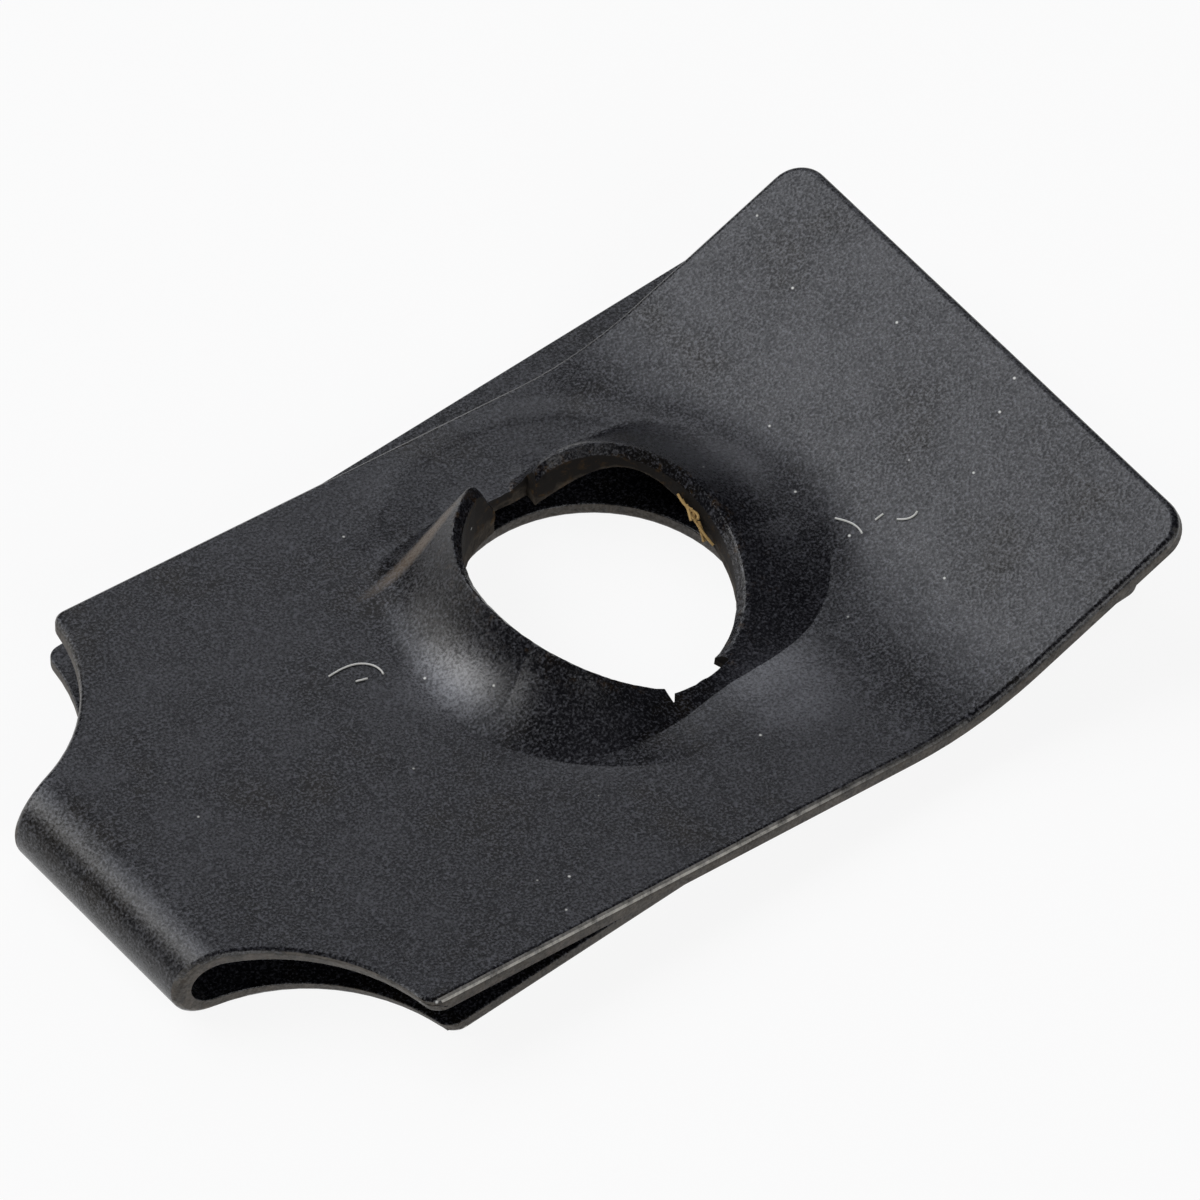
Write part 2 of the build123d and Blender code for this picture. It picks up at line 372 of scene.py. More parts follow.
            height = add_node(tree, "Math", {0: past, 1: share, 2: height},
                              operation="MULTIPLY_ADD")
        inside = add_node(tree, "Math", {0: near_foot, 1: radius}, operation="SUBTRACT")
        inside = add_node(tree, "Math", {0: inside, 1: 0.0}, operation="MAXIMUM")
        share = add_node(tree, "Math", {0: near_side, 1: self.near_flank}, operation="MULTIPLY")
        height = add_node(tree, "Math", {0: inside, 1: share, 2: height}, operation="MULTIPLY_ADD")
        level = add_node(tree, "SeparateXYZ", {0: in_mm}, "Z")
        upper = add_node(tree, "MapRange", self.leaf_gap.inputs(level))
        return add_node(tree, "Math", {0: height, 1: upper}, operation="MULTIPLY")

    def burnish_and_highlight(self, tree: Tree, in_mm: Socket, grain: Socket, cloud: Socket) -> Socket:
        """Makes the mask of the burnished patches, which are partly a painted highlight, ragged
        with the clouds and mottled.

        Args:
            tree: The material's node tree.
            in_mm: The place in millimetres.
            grain: The crystals' noise.
            cloud: The clouds' noise.

        Returns:
            A mask that is about 1 where the coat is burnished and a highlight is painted.
        """
        patches = []
        for scuff_highlight in self.scuffs_and_highlights:
            away = add_node(tree, "VectorMath", {0: in_mm, 1: scuff_highlight.place}, "Value",
                            operation="DISTANCE")
            edge = Ramp(scuff_highlight.reach, scuff_highlight.reach * self.scuff_highlight_core)
            patches.append(add_node(tree, "MapRange", edge.inputs(away),
                                    interpolation_type="SMOOTHSTEP"))
        patch = patches[0]
        for other in patches[1:]:
            patch = add_node(tree, "Math", {0: patch, 1: other}, operation="MAXIMUM")
        for ramp, noise_value in ((self.cloud_scuff_highlight, cloud), (self.grain_scuff_highlight, grain)):
            share = add_node(tree, "MapRange", ramp.inputs(noise_value))
            patch = add_node(tree, "Math", {0: patch, 1: share}, operation="MULTIPLY")
        return patch

    def coat_colour(self, tree: Tree, in_mm: Socket, grain: Socket, cloud: Socket) -> Socket:
        """Mixes the coat: two blacks in clouds, oil in the darkest, pale crystals, a painted
        highlight on a brow.

        Args:
            tree: The material's node tree.
            in_mm: The place in millimetres.
            grain: The crystals' noise.
            cloud: The clouds' noise.

        Returns:
            The coat's colour.
        """
        away = add_node(tree, "VectorMath", {0: in_mm, 1: self.ridge_highlight_place}, operation="SUBTRACT")
        away = add_node(tree, "VectorMath", {0: away, 1: self.ridge_highlight_reach}, operation="DIVIDE")
        away = add_node(tree, "VectorMath", {0: away}, "Value", operation="LENGTH")
        frayed = add_node(tree, "Math", {0: grain, 1: self.ridge_highlight_ragged, 2: away},
                          operation="MULTIPLY_ADD")
        coat = linear(self.coat)
        for ramp, value, colour in ((self.cloud_black, cloud, self.coat_pale),
                                    (self.cloud_oil, cloud, self.oil),
                                    (self.grain_crystals, grain, self.crystal_pale),
                                    # A painted highlight on the brow.
                                    (self.ridge_highlight_fade, frayed, self.ridge_highlight)):
            share = add_node(tree, "MapRange", ramp.inputs(value))
            coat = add_node(tree, "Mix", {0: share, COLOUR_A: coat, COLOUR_B: linear(colour)},
                            COLOUR_OUT, data_type="RGBA")
        return coat

    def edge_colour(self, tree: Tree, in_mm: Socket, coat: Socket,
                    marks: dict[Layer, Socket]) -> Socket:
        """Lays the opening's painted shade, the cut faces, the rubbed edges with their painted
        glint and the torn metal over the coat.

        Args:
            tree: The material's node tree.
            in_mm: The place in millimetres.
            coat: Colour of the coat.
            marks: Where each kind of edge is.

        Returns:
            The colour with its edges.
        """
        streaks = add_node(tree, "TexNoise", self.streak.inputs(in_mm))
        share = add_node(tree, "MapRange", self.streak_cut.inputs(streaks))
        metal = add_node(tree, "Mix", {0: share, COLOUR_A: linear(self.cut_dark),
                                       COLOUR_B: linear(self.cut)}, COLOUR_OUT, data_type="RGBA")
        height = add_node(tree, "Attribute", {}, "Fac", attribute_name=WALL_HEIGHT)
        frayed = add_node(tree, "Math", {0: streaks, 1: self.low_wall_ragged, 2: height},
                          operation="MULTIPLY_ADD")
        low_wall_part = add_node(tree, "MapRange", self.low_wall_ramp.inputs(frayed))
        low_wall_part = add_node(tree, "Math", {0: low_wall_part, 1: marks[Layer.INNER]}, operation="MULTIPLY")
        bare = add_node(tree, "Math", {0: low_wall_part, 1: marks[Layer.CUT]}, operation="MAXIMUM")
        worn_and_glint = add_node(tree, "MapRange", self.streak_wear_glint.inputs(streaks))
        along = add_node(tree, "SeparateXYZ", {0: in_mm}, "X")
        along_fade = add_node(tree, "MapRange", self.along_wear_glint.inputs(along))
        worn_and_glint = add_node(tree, "Math", {0: worn_and_glint, 1: along_fade}, operation="MULTIPLY")
        # Rubbed edges in pale metal, which also stands for their glint: a painted highlight.
        rubbed_and_glint = add_node(tree, "Math", {0: marks[Layer.ROLLED], 1: worn_and_glint}, operation="MULTIPLY")
        stains = add_node(tree, "MapRange", self.streak_tan.inputs(streaks))
        torn = add_node(tree, "Math", {0: marks[Layer.TORN], 1: stains}, operation="MULTIPLY")
        colour = coat
        # The opening's walls take painted shade, except low down, where they keep the cut faces'
        # colour.
        for share, over in ((marks[Layer.INNER], linear(self.inner)), (bare, metal),
                            (rubbed_and_glint, linear(self.rubbed_and_glint)), (torn, linear(self.tan))):
            colour = add_node(tree, "Mix", {0: share, COLOUR_A: colour, COLOUR_B: over},
                              COLOUR_OUT, data_type="RGBA")
        return colour

    def specks(self, tree: Tree, in_mm: Socket) -> Socket:
        """Makes sparse pale dust specks, a few hundredths of a millimetre wide.

        Args:
            tree: The material's node tree.
            in_mm: The place in millimetres.

        Returns:
            A mask that is 1 on a speck.
        """
        cells = {"Vector": in_mm, "Scale": 1 / self.speck_spacing}
        near = add_node(tree, "TexVoronoi", cells, "Distance")
        tint = add_node(tree, "TexVoronoi", cells, "Color")
        dot = add_node(tree, "MapRange", self.speck_edge.inputs(near))
        picked = add_node(tree, "SeparateColor", {0: tint}, "Red")
        some = add_node(tree, "Math", {0: picked, 1: self.speck_gaps}, operation="GREATER_THAN")
        return add_node(tree, "Math", {0: dot, 1: some}, operation="MULTIPLY")


@dataclass(frozen=True)
class Lint:
    """Textile fibre, pale and matt, so that it stands out on the black."""

    name: str = "textile_lint"
    colour: str = "#e6e5e1"
    roughness: float = 0.8

    def build(self) -> bpy.types.Material:
        """Builds the material.

        Returns:
            Plain matt fibre.
        """
        material = new_material(self.name)
        shader = add_node(material.node_tree, "BsdfPrincipled",
                          {"Base Color": linear(self.colour), "Roughness": self.roughness})
        add_node(material.node_tree, "OutputMaterial", {"Surface": shader})
        return material


@dataclass(frozen=True)
class PalePaper:
    """Matt white board, which scatters light evenly. The eye sees it mostly as plain white."""

    name: str = "matt_white_board"
    colour: str = "#fbfbfb"
    roughness: float = 1.0
    white: float = 0.9  # share of plain white in what the eye, metal and glass see of it

    def build(self) -> bpy.types.Material:
        """Builds the material.

        Returns:
            Lit matt board, with plain white mixed in where it is seen.
        """
        material = new_material(self.name)
        tree = material.node_tree
        rays = [add_node(tree, "LightPath", {}, f"Is {kind} Ray")
                for kind in ("Camera", "Glossy", "Transmission")]
        seen = add_node(tree, "Math", {0: rays[0], 1: rays[1]}, operation="ADD")
        seen = add_node(tree, "Math", {0: seen, 1: rays[2]}, operation="ADD", use_clamp=True)
        share = add_node(tree, "Math", {0: seen, 1: self.white}, operation="MULTIPLY")
        board = add_node(tree, "BsdfPrincipled", {"Base Color": linear(self.colour),
                                                  "Roughness": self.roughness})
        plain = add_node(tree, "Emission", {"Color": linear(WHITE), "Strength": 1.0})
        shader = add_node(tree, "MixShader", {0: share, 1: board, 2: plain})
        add_node(tree, "OutputMaterial", {"Surface": shader})
        return material


def in_order(found: Iterable[bmesh.types.BMVert]) -> list[bmesh.types.BMVert]:
    """Keeps each corner once, in the order found, so that each run gives the same mesh."""
    return list(dict.fromkeys(found))


@dataclass
class ClipNut:
    """The nut's skin: the CAD solid with rolled stamped edges and torn rims at its slots."""

    finish: PhosphatedSteel = field(default_factory=PhosphatedSteel)
    sheet: float = 0.5  # mm, thickness
    foot: float = FOOT
    fold_axis: tuple[float, float] = (-16.07, 1.3)  # mm, x and z
    between_leaves: float = 0.6  # mm up, between the two leaves
    free_end: float = 9.6  # mm, x past which the edges are the free end's
    weld: float = 1e-4  # mm within which the solid's loose corners are one
    flat: float = 0.2  # degrees within which neighbouring triangles are one flat face

    cut_width: float = 0.525  # mm, mean width up to which a face is a cut through the sheet
    wall_level: float = 0.35  # a normal's Z, either way, below which a face is a wall
    opening_reach: float = 4.0  # mm from the screw axis that the opening's walls keep within
    formed_level: float = 0.5  # a normal's Z above which a face is a side of the impression
    formed_area: float = 8.0  # mm2 that such a side has at least
    foot_margin: float = 0.01  # mm past the foot that it may reach

    foot_step: float = 0.02  # mm, closed here because the coat fills it
    foot_band: float = 0.1  # mm either side of the foot in which an edge is the step's
    step_merge: float = 0.12  # mm between corners that close up with the step
    step_passes: int = 2

    sharp: float = 34.0  # degrees at an edge above which it is rolled
    die_roll: float = 0.2  # mm, width of the edges that the die rounded
    burr_roll: float = 0.05  # mm, width on the other side
    roll_segments: int = 4
    rub_glint_level: tuple[float, float] = (0.2, 0.72)  # a normal's Z where a rounded edge is drawn rubbed, with a painted glint
    rub_glint_straight: float = 1.0  # share of rubbed colour and painted glint on the long edges
    rub_glint_end: float = 0.5  # the same on the free end
    rub_glint_elsewhere: float = 0.1
    near_glint_level: tuple[float, float] = (0.7, 0.9)  # above the near edge's rubbed line, a band of painted glint
    near_glint_share: float = 0.4
    along_limit: float = 0.15  # a normal's X, either way, below which the edge is a long one
    near_limit: float = -0.3  # a normal's Y below which that is the near one

    normal_reach: float = 0.4  # mm within which a true normal is looked for
    normal_fit: float = 0.85  # how well it has to agree with the face, where 1 is in full
    torn_normal: float = 0.3  # share of tearing past which a face keeps its own normal

    slots: tuple[float, float] = (87.0, -89.0)  # degrees from +X
    slot_reach: float = 24.0  # degrees either side that tearing shows
    rim_reach: float = 4.7  # mm from the screw axis that the tearing reaches
    rim_full: float = 3.7  # mm from it at which the tearing is in full
    rim_level: float = 0.85  # mm up that it starts
    tear: float = 0.07  # mm the torn metal stands off its true place
    tear_grain: float = 0.28  # mm between the teeth of the tear
    tear_least: float = 0.25  # share of it away from the slots
    tear_passes: int = 2
    tear_seed: int = 1  # keeps the tear the same each time, as without one the clock sets it
    wall_step: float = 5.0  # degrees round the opening over which a wall's height is taken

    def build(self, source: bpy.types.Object) -> bpy.types.Object:
        """Builds the skin from a copy of the CAD node.

        Args:
            source: The CAD node.

        Returns:
            The new piece.
        """
        mesh = bmesh.new()
        mesh.from_mesh(source.data)
        layers = {layer: mesh.faces.layers.float.new(layer.value) for layer in Layer}
        self.mark_faces(mesh, layers)
        formed = [bool(face[layers[Layer.FORMED]]) for face in mesh.faces]
        bmesh.ops.remove_doubles(mesh, verts=mesh.verts[:], dist=self.weld * MM)
        self.join_flats(mesh, layers[Layer.FORMED])
        self.close_foot(mesh, layers[Layer.FORMED])
        self.refine_rims(mesh)
        self.roll_edges(mesh, layers)
        self.mark_inner_walls(mesh, layers)
        self.tear_rims(mesh, layers[Layer.TORN])
        bmesh.ops.triangulate(mesh, faces=mesh.faces[:])
        data = bpy.data.meshes.new("clip_skin")
        mesh.to_mesh(data)
        mesh.free()
        data.materials.clear()
        data.materials.append(self.finish.build())
        self.shade(data, source.data, formed)
        piece = bpy.data.objects.new("clip_skin", data)
        bpy.context.scene.collection.objects.link(piece)
        return piece

    def shade(self, data: bpy.types.Mesh, source: bpy.types.Mesh, formed: list[bool]) -> None:
        """Gives the skin the solid's true normals. Its rolled edges run from one to another.

        Args:
            data: Mesh of the skin.
            source: Mesh of the solid.
            formed: Whether each face of the solid is a side of the impression.
        """
        if "custom_normal" in data.attributes:
            data.attributes.remove(data.attributes["custom_normal"])
        data.shade_smooth()
        data.set_sharp_from_angle(angle=math.radians(self.sharp))
        exact = {side: KDTree(len(source.loops)) for side in (False, True)}
        for polygon in source.polygons:
            for loop in polygon.loop_indices:
                place = source.vertices[source.loops[loop].vertex_index].co
                exact[formed[polygon.index]].insert(place, loop)
        for tree in exact.values():
            tree.balance()
        true = [Vector(corner.vector) for corner in source.corner_normals]
        normals = [Vector(corner.vector) for corner in data.corner_normals]
        bevel = data.attributes[Layer.BEVEL.value].data
        torn = data.attributes[Layer.TORN.value].data
        side = data.attributes[Layer.FORMED.value].data
        known: dict[int, list[Vector]] = {}
        for polygon in data.polygons:
            if bevel[polygon.index].value or torn[polygon.index].value > self.torn_normal:
                continue
            tree = exact[bool(side[polygon.index].value)]
            for loop in polygon.loop_indices:
                vertex = data.loops[loop].vertex_index
                near = tree.find_range(data.vertices[vertex].co, self.normal_reach * MM)
                fits = [(distance, true[i]) for _, i, distance in near
                        if true[i].dot(polygon.normal) > self.normal_fit]
                here = [normal for distance, normal in fits if distance < self.step_merge * MM]
                if here:
                    normals[loop] = max(here, key=polygon.normal.dot)
                elif fits:
                    normals[loop] = min(fits, key=lambda found: found[0])[1]
                known.setdefault(vertex, []).append(normals[loop])
        for polygon in (p for p in data.polygons if bevel[p.index].value):
            for loop in polygon.loop_indices:
                beside = known.get(data.loops[loop].vertex_index)
                if beside:
                    normals[loop] = max(beside, key=polygon.normal.dot)
        data.normals_split_custom_set(normals)

    def mark_faces(self, mesh: bmesh.types.BMesh, layers: dict[Layer, Any]) -> None:
        """Marks what the punch and die cut, and the two sides of the impression.

        Args:
            mesh: The solid, with its faces still apart.
            layers: The face layers that take the marks.
        """
        seen: set[int] = set()
        mesh.faces.ensure_lookup_table()
        for start in mesh.faces:
            if start.index in seen:
                continue
            island = self.island(start, seen)
            area = sum(f.calc_area() for f in island)
            rim = sum(e.calc_length() for f in island for e in f.edges if e.is_boundary)
            up = sum(f.normal.z * f.calc_area() for f in island) / area
            level = sum(abs(f.normal.z) * f.calc_area() for f in island) / area
            farthest = max(v.co.xy.length for f in island for v in f.verts)
            inner = level < self.wall_level and farthest < self.opening_reach * MM
            cut = inner or area / (rim / 2) < self.cut_width * MM
            formed = (farthest < (self.foot + self.foot_margin) * MM
                      and area > self.formed_area * MM * MM and level > self.formed_level)
            for face in island:
                face[layers[Layer.CUT]] = float(cut)
                face[layers[Layer.FORMED]] = math.copysign(1.0, up) if formed else 0.0

    def island(self, start: bmesh.types.BMFace, seen: set[int]) -> list[bmesh.types.BMFace]:
        """Collects the faces joined to one face.

        Args:
            start: The face.
            seen: Numbers of the faces seen so far, which takes the new ones.

        Returns:
            The faces, with the first one.
        """
        found, queue = [], [start]
        seen.add(start.index)
        while queue:
            face = queue.pop()
            found.append(face)
            for other in (f for e in face.edges for f in e.link_faces):
                if other.index not in seen:
                    seen.add(other.index)
                    queue.append(other)
        return found

    def join_flats(self, mesh: bmesh.types.BMesh, layer: Any) -> None:
        """Joins the triangles of the flat faces, so that the rolled edges come out even.

        Args:
            mesh: The skin.
            layer: The face layer of the impression's sides, which are left alone.
        """
        plain = [e for e in mesh.edges if not any(face[layer] for face in e.link_faces)]
        ends = in_order(v for e in plain for v in e.verts
                        if not any(face[layer] for face in v.link_faces))
        bmesh.ops.dissolve_limit(mesh, angle_limit=math.radians(self.flat), verts=ends,
                                 edges=plain)

    def close_foot(self, mesh: bmesh.types.BMesh, layer: Any) -> None:
        """Closes the shallow step at the foot of the impression.

        Args:
            mesh: The skin.
            layer: The face layer of the impression's sides, which is 1 on top and -1 below.
        """
        for vertex in mesh.verts:
            sides = [face[layer] for face in vertex.link_faces if face[layer]]
            if sides:
                vertex.co.z += sides[0] * self.foot_step * MM
        for _ in range(self.step_passes):
            thin = in_order(v for f in mesh.faces if self.is_sliver(f) for v in f.verts)
            bmesh.ops.remove_doubles(mesh, verts=thin, dist=self.step_merge * MM)
            bmesh.ops.dissolve_degenerate(mesh, dist=self.foot_step / 2 * MM,
                                          edges=mesh.edges[:])

    def is_sliver(self, face: bmesh.types.BMFace) -> bool:
        """Tells if a face is what is left of the closed step.

        Args:
            face: A face of the skin.

        Returns:
            Whether it is thinner than half the step, and within the foot.
        """
        longest = max(edge.calc_length() for edge in face.edges)
        within = all(v.co.xy.length < (self.foot + self.foot_step) * MM for v in face.verts)
        return within and 2 * face.calc_area() < longest * self.foot_step / 2 * MM

    def at_foot(self, edge: bmesh.types.BMEdge) -> bool:
        """Tells if an edge runs along the closed step.

        Args:
            edge: An edge of the skin.

        Returns:
            Whether both its ends are on the upper leaf and at the foot.
        """
        return all(v.co.z > self.sheet * MM
                   and abs(v.co.xy.length - self.foot * MM) < self.foot_band * MM
                   for v in edge.verts)

    def in_reach(self, point: Vector) -> bool:
        """Tells if a point lies on the torn part of the opening's rim."""
        return point.xy.length < self.rim_reach * MM and point.z > self.rim_level * MM

    def refine_rims(self, mesh: bmesh.types.BMesh) -> None:
        """Cuts the long edges near the opening, so that the rims can be torn.

        Args:
            mesh: The skin.
        """
        for _ in range(self.tear_passes):
            edges = [e for e in mesh.edges if e.calc_length() > self.tear_grain * MM
                     and all(self.in_reach(v.co) for v in e.verts)]
            bmesh.ops.subdivide_edges(mesh, edges=edges, cuts=1)
            bmesh.ops.triangulate(mesh, faces=[f for f in mesh.faces if len(f.verts) > 4
                                               and all(self.in_reach(v.co) for v in f.verts)])

    def roll_edges(self, mesh: bmesh.types.BMesh, layers: dict[Layer, Any]) -> None:
        """Rolls the sharp edges over, widely on the die's side and hardly on the burr's.

        Args:
            mesh: The skin.
            layers: The face layers that take the marks.
        """
        for die_side, width in ((True, self.die_roll), (False, self.burr_roll)):
            mesh.normal_update()
            sharp = [e for e in mesh.edges if e.is_manifold and not self.at_foot(e)
                     and not all(self.in_reach(v.co) for v in e.verts)
                     and not any(face[layers[Layer.BEVEL]] for face in e.link_faces)
                     and e.calc_face_angle(0.0) > math.radians(self.sharp)
                     and self.on_die_side(e, layers[Layer.CUT]) == die_side]
            made = bmesh.ops.bevel(mesh, geom=sharp, offset=width * MM, offset_type="OFFSET",
                                   segments=self.roll_segments, profile=0.5, affect="EDGES",
                                   material=-1, clamp_overlap=False)
            mesh.normal_update()
            for face in made["faces"]:
                face[layers[Layer.BEVEL]] = 1.0
                face[layers[Layer.ROLLED]] = self.rub_and_glint_share(face) if die_side else 0.0
                face[layers[Layer.CUT]] = float(abs(face.normal.z) < self.wall_level)

    def rub_and_glint_share(self, face: bmesh.types.BMFace) -> float:
        """Tells how much of a rolled face is drawn rubbed pale, which also paints its glint.

        Args:
            face: A face of an edge that the die rounded.

        Returns:
            A share from 0 to 1.
        """
        level = abs(face.normal.z)
        is_long = abs(face.normal.x) < self.along_limit
        at_end = face.calc_center_median().x > self.free_end * MM
        share = self.rub_glint_straight if is_long else self.rub_glint_end if at_end else self.rub_glint_elsewhere
        line = self.rub_glint_level[0] < level < self.rub_glint_level[1]
        # A painted glint along the near long edge, above its rubbed line.
        near_glint = (is_long and face.normal.y < self.near_limit
                and self.near_glint_level[0] < level < self.near_glint_level[1])
        return share * float(line) + self.near_glint_share * float(near_glint)

    def on_die_side(self, edge: bmesh.types.BMEdge, layer: Any) -> bool:
        """Tells if an edge borders the outer side of the folded strip, which the die rounds.

        Args:
            edge: An edge of the skin.
            layer: The face layer of the cut faces.

        Returns:
            Whether just one of its faces is a side of the sheet, and that one faces outwards.
        """
        plain = [face for face in edge.link_faces if not face[layer]]
        if len(plain) != 1:
            return False
        middle, normal = (edge.verts[0].co + edge.verts[1].co) / 2, plain[0].normal
        if middle.x < (self.fold_axis[0] + self.sheet) * MM:
            out = Vector((middle.x - self.fold_axis[0] * MM, 0, middle.z - self.fold_axis[1] * MM))
            return out.dot(normal) > 0
        upper_leaf = middle.z > self.between_leaves * MM
        return (normal.z > 0) == upper_leaf

    def mark_inner_walls(self, mesh: bmesh.types.BMesh, layers: dict[Layer, Any]) -> None:
        """Marks the walls of the opening, and how high on them each corner is.

        Args:
            mesh: The skin.
            layers: The face layers that take the marks.
        """
        height = mesh.verts.layers.float.new(WALL_HEIGHT)
        walls: dict[int, set[bmesh.types.BMVert]] = {}
        for face in mesh.faces:
            if face[layers[Layer.CUT]] and all(self.in_reach(v.co) for v in face.verts):
                face[layers[Layer.INNER]], face[layers[Layer.CUT]] = 1.0, 0.0
                for vertex in face.verts:
                    turn = math.degrees(math.atan2(vertex.co.y, vertex.co.x))
                    walls.setdefault(round(turn / self.wall_step), set()).add(vertex)
        for place, wall in walls.items():
            beside = set().union(*(walls.get(place + step, set()) for step in (-1, 0, 1)))
            low, high = min(v.co.z for v in beside), max(v.co.z for v in beside)
            for vertex in wall:
                vertex[height] = (vertex.co.z - low) / (high - low)

    def tear_rims(self, mesh: bmesh.types.BMesh, layer: Any) -> None:
        """Roughens the rims at the two slots and marks the torn faces.

        Args:
            mesh: The skin.
            layer: The face layer that takes the share of tearing.
        """
        noise.seed_set(self.tear_seed)
        for vertex in mesh.verts:
            share = self.torn_share(vertex.co)
            if share > 0:
                spot = vertex.co / (self.tear_grain * MM)
                vertex.co += noise.noise_vector(spot) * self.tear * MM * share
        for face in mesh.faces:
            face[layer] = self.torn_share(face.calc_center_median())

    def torn_share(self, point: Vector) -> float:
        """Tells how far the metal is torn at a point.

        Args:
            point: A place on the skin.

        Returns:
            A share from 0 to 1.
        """
        if not self.in_reach(point):
            return 0.0
        turn = math.degrees(math.atan2(point.y, point.x))
        off = min(abs((turn - slot + 180) % 360 - 180) for slot in self.slots)
        inside = (self.rim_reach - point.xy.length / MM) / (self.rim_reach - self.rim_full)
        return max(self.tear_least, 1 - off / self.slot_reach) * min(max(inside, 0.0), 1.0)


@dataclass(frozen=True)
class Fibre:
    """One thin fibre, bent more towards its end."""

    place: tuple[float, float]  # mm, where it starts
    heading: float  # degrees from +X in plan
    length: float  # mm
    turn: float = 0.0  # degrees that its heading changes in all
    height: Optional[float] = None  # mm; without it the fibre lies on the nut
    fall: float = 0.0  # degrees it points down
    steps: int = 14  # straight bits that it is made of
    clear: float = 20.0  # mm up, above all of the nut

    def path(self, skin: BVHTree, thick: float) -> list[Vector]:
        """Follows the fibre.

        Args:
            skin: Surface of the nut.
            thick: Half the fibre's thickness, in mm.

        Returns:
            Points along its middle, in metres.
        """
        point, points = Vector((*self.place, self.height or 0.0)), []
        fall = math.radians(self.fall)
        for step in range(self.steps + 1):
            spot = point * MM
            if self.height is None:
                above = Vector((spot.x, spot.y, self.clear * MM))
                spot = skin.ray_cast(above, Vector((0, 0, -1)))[0] + Vector((0, 0, thick * MM))
            points.append(spot)
            turn = math.radians(self.heading + self.turn * (step / self.steps) ** 2)
            ahead = Vector((math.cos(turn) * math.cos(fall), math.sin(turn) * math.cos(fall),
                            -math.sin(fall)))
            point = point + ahead * self.length / self.steps
        return points


@dataclass
class Fluff:
    """A few fibres of one kind, as one piece of thin closed tubes."""

    name: str
    finish: Lint
    fibres: tuple[Fibre, ...]
    thick: float = 0.028  # mm, half the thickness

    def build(self, nut: bpy.types.Object) -> bpy.types.Object:
        """Builds the fibres on the nut.

        Args:
            nut: The nut that they cling to.

        Returns:
            The new piece.
        """
        mesh = nut.data
        skin = BVHTree.FromPolygons([v.co for v in mesh.vertices],
                                    [p.vertices for p in mesh.polygons])
        curve = bpy.data.curves.new(self.name, "CURVE")
        curve.dimensions = "3D"
        curve.bevel_depth = self.thick * MM
        curve.bevel_resolution = 1
        curve.use_fill_caps = True
        for fibre in self.fibres:
            points = fibre.path(skin, self.thick)
            spline = curve.splines.new("POLY")
            spline.points.add(len(points) - 1)
            for knot, point in zip(spline.points, points):
                knot.co = (*point, 1.0)
        shape = bpy.data.objects.new(self.name, curve)
        data = bpy.data.meshes.new_from_object(shape)
        bpy.data.objects.remove(shape)
        data.materials.append(self.finish.build())
        data.shade_smooth()
        piece = bpy.data.objects.new(self.name, data)
        bpy.context.scene.collection.objects.link(piece)
        return piece


PALE_FIBRES = Fluff("pale_fibres", Lint(), (
    Fibre((-7.8, 1.92), heading=2.0, length=1.75, turn=-125.0),
    Fibre((-7.35, 1.35), heading=-18.0, length=0.33),
    Fibre((6.4, -2.29), heading=-66.0, length=0.95, turn=-50.0),
    Fibre((7.02, -3.19), heading=-10.0, length=0.25),
    Fibre((7.38, -3.65), heading=-56.0, length=0.6, turn=90.0),
))
TAN_FIBRES = Fluff("tan_fibres", Lint("dried_plant_fibre", "#c4a268"), (
    Fibre((3.6, 0.75), heading=-94.0, length=1.5, turn=16.0, height=2.1, fall=30.0),
    Fibre((3.6, 0.3), heading=-80.0, length=0.9, turn=-30.0, height=1.95, fall=58.0),
    Fibre((3.6, 0.55), heading=-118.0, length=0.5, height=2.05, fall=10.0),
    Fibre((3.6, 0.05), heading=-70.0, length=0.7, turn=40.0, height=1.8, fall=70.0),
    Fibre((3.55, 0.45), heading=-55.0, length=0.45, turn=-110.0, height=2.0, fall=12.0),
    Fibre((3.58, 0.9), heading=-102.0, length=0.6, turn=60.0, height=2.2, fall=20.0),
), thick=0.042)


class Softbox(NamedTuple):
    """A square soft lamp that faces the nut."""

    name: str
    place: Place  # metres
    size: float  # metres, its side
    radiance: float  # how bright its face is, where 1 is white
    colour: str = WHITE

    def hang(self) -> None:
        """Hangs the lamp."""
        light = bpy.data.lights.new(self.name, "AREA")
        light.shape = "SQUARE"
        light.size = self.size
        light.color = linear(self.colour)[:3]
        light.energy = self.radiance * math.pi * self.size * self.size
        lamp = bpy.data.objects.new(self.name, light)
        lamp.location = self.place
        lamp.rotation_euler = Vector(self.place).to_track_quat("Z", "Y").to_euler()
        bpy.context.scene.collection.objects.link(lamp)


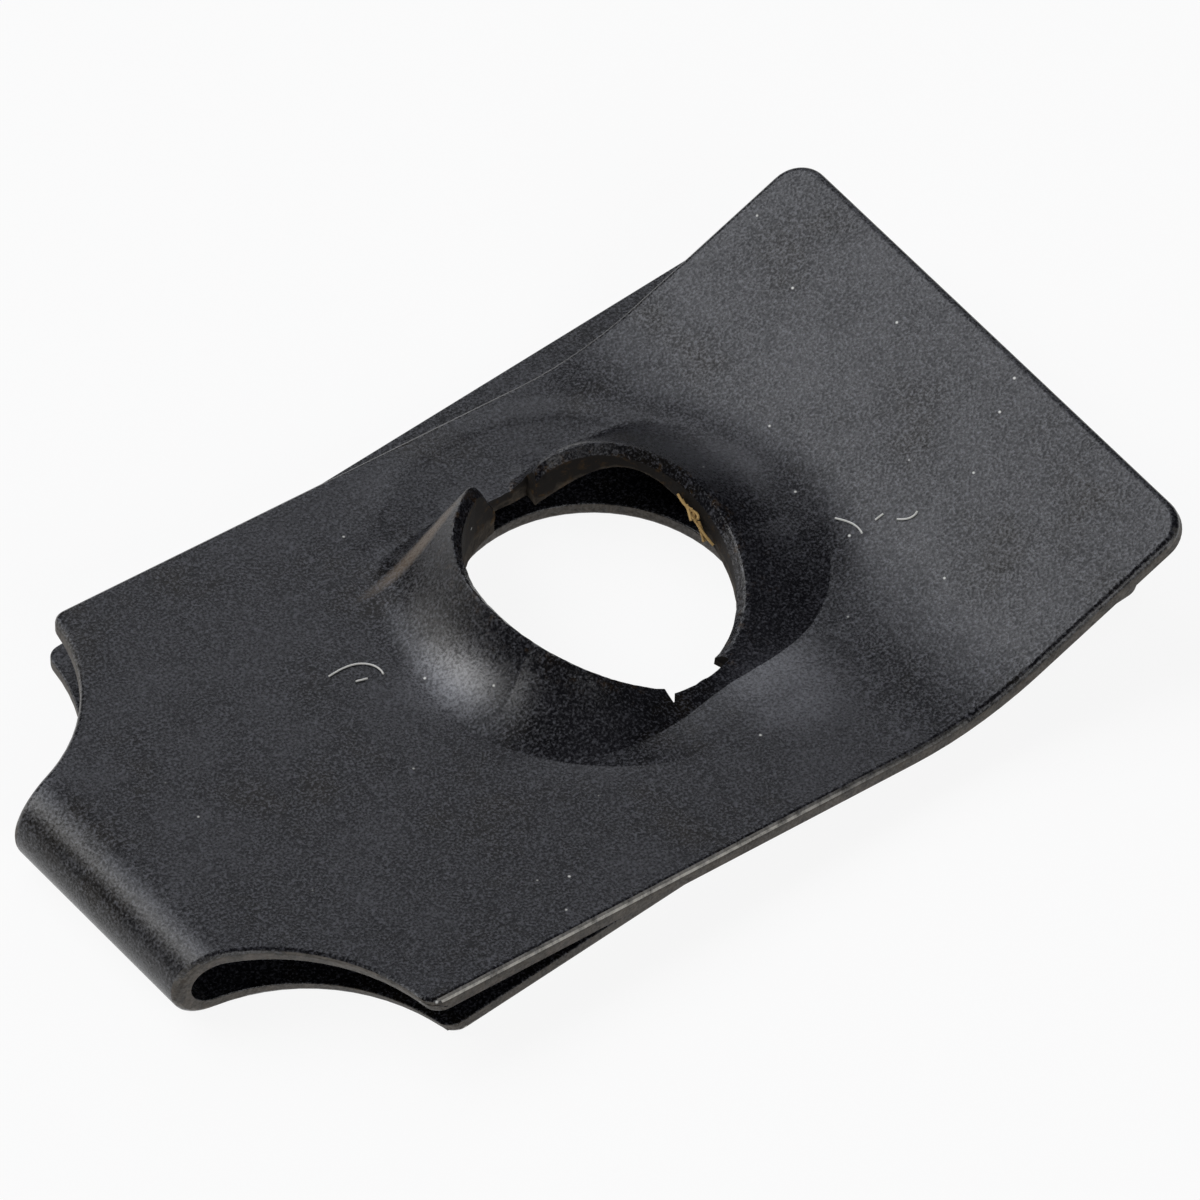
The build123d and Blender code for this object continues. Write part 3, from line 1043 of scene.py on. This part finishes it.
@dataclass
class Studio:
    """Pale floor, soft lamps and the camera."""

    board: PalePaper = field(default_factory=PalePaper)
    floor_half: float = 1.5  # metres
    floor_drop: float = 0.02  # mm that the floor lies below the nut
    surround: float = 0.04  # strength of the even light from all round
    softboxes: tuple[Softbox, ...] = (
        Softbox("fold_side_softbox", (-0.55, 0.40, 0.74), 0.36, 5.0),
        Softbox("far_side_softbox", (-0.14, 0.60, 0.79), 0.60, 2.8, "#f4f7ff"),
        Softbox("free_side_softbox", (0.55, 0.62, 0.58), 0.48, 1.5, "#f4f7ff"),
        Softbox("low_far_side_softbox", (-0.55, 0.76, 0.45), 0.60, 1.8, "#fbf9f6"),
        Softbox("near_side_softbox", (-0.15, -0.88, 0.45), 0.50, 3.4),
    )
    camera_place: Place = (-0.12737, -0.13608, 0.21024)  # metres
    azimuth: float = -43.12  # degrees
    elevation: float = 48.27
    roll: float = 2.69
    lens: float = 314.7  # mm
    sensor: float = 36.0  # mm
    clip_start: float = 0.01  # metres

    def build(self) -> None:
        """Builds the whole studio."""
        self.floor()
        self.world()
        for softbox in self.softboxes:
            softbox.hang()
        self.camera()

    def floor(self) -> None:
        """Lays the floor under the nut."""
        mesh = bmesh.new()
        bmesh.ops.create_grid(mesh, x_segments=1, y_segments=1, size=self.floor_half,
                              matrix=Matrix.Translation((0, 0, -self.floor_drop * MM)))
        data = bpy.data.meshes.new("floor")
        mesh.to_mesh(data)
        mesh.free()
        data.materials.append(self.board.build())
        piece = bpy.data.objects.new("floor", data)
        bpy.context.scene.collection.objects.link(piece)

    def world(self) -> None:
        """Sets an even dim surround."""
        world = bpy.data.worlds.new("surround")
        bpy.context.scene.world = world
        world.use_nodes = True
        tree = world.node_tree
        tree.nodes.clear()
        back = add_node(tree, "Background", {"Color": linear(WHITE), "Strength": self.surround})
        add_node(tree, "OutputWorld", {"Surface": back})

    def camera(self) -> None:
        """Sets up the camera, which looks along its own back axis and is rolled about it."""
        turn, rise, roll = (math.radians(a) for a in (self.azimuth, self.elevation, self.roll))
        back = Vector((math.sin(turn) * math.cos(rise), -math.cos(turn) * math.cos(rise),
                       math.sin(rise)))
        level = Vector((math.cos(turn), math.sin(turn), 0.0))
        above = back.cross(level)
        right = math.cos(roll) * level + math.sin(roll) * above
        up = math.cos(roll) * above - math.sin(roll) * level
        axes = Matrix((right, up, back)).transposed().to_4x4()
        data = bpy.data.cameras.new("camera")
        data.lens = self.lens
        data.sensor_width = self.sensor
        data.sensor_fit = "HORIZONTAL"
        data.clip_start = self.clip_start
        camera = bpy.data.objects.new("camera", data)
        camera.matrix_world = Matrix.Translation(self.camera_place) @ axes
        bpy.context.scene.collection.objects.link(camera)
        bpy.context.scene.camera = camera


def main() -> None:
    """Builds the nut and the studio."""
    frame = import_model()
    bpy.context.scene.view_settings.view_transform = "Standard"
    nut = ClipNut().build(frame["nodes"][NODE])
    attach(nut, "root")
    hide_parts(NODE)
    LOG.info("%s: %d faces", nut.name, len(nut.data.polygons))
    for fluff in (PALE_FIBRES, TAN_FIBRES):
        piece = fluff.build(nut)
        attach(piece, "root")
        LOG.info("%s: %d fibres", piece.name, len(fluff.fibres))
    studio = Studio()
    studio.build()
    LOG.info("studio: floor, %d lamps and the camera", len(studio.softboxes))


if __name__ == "__main__":
    main()
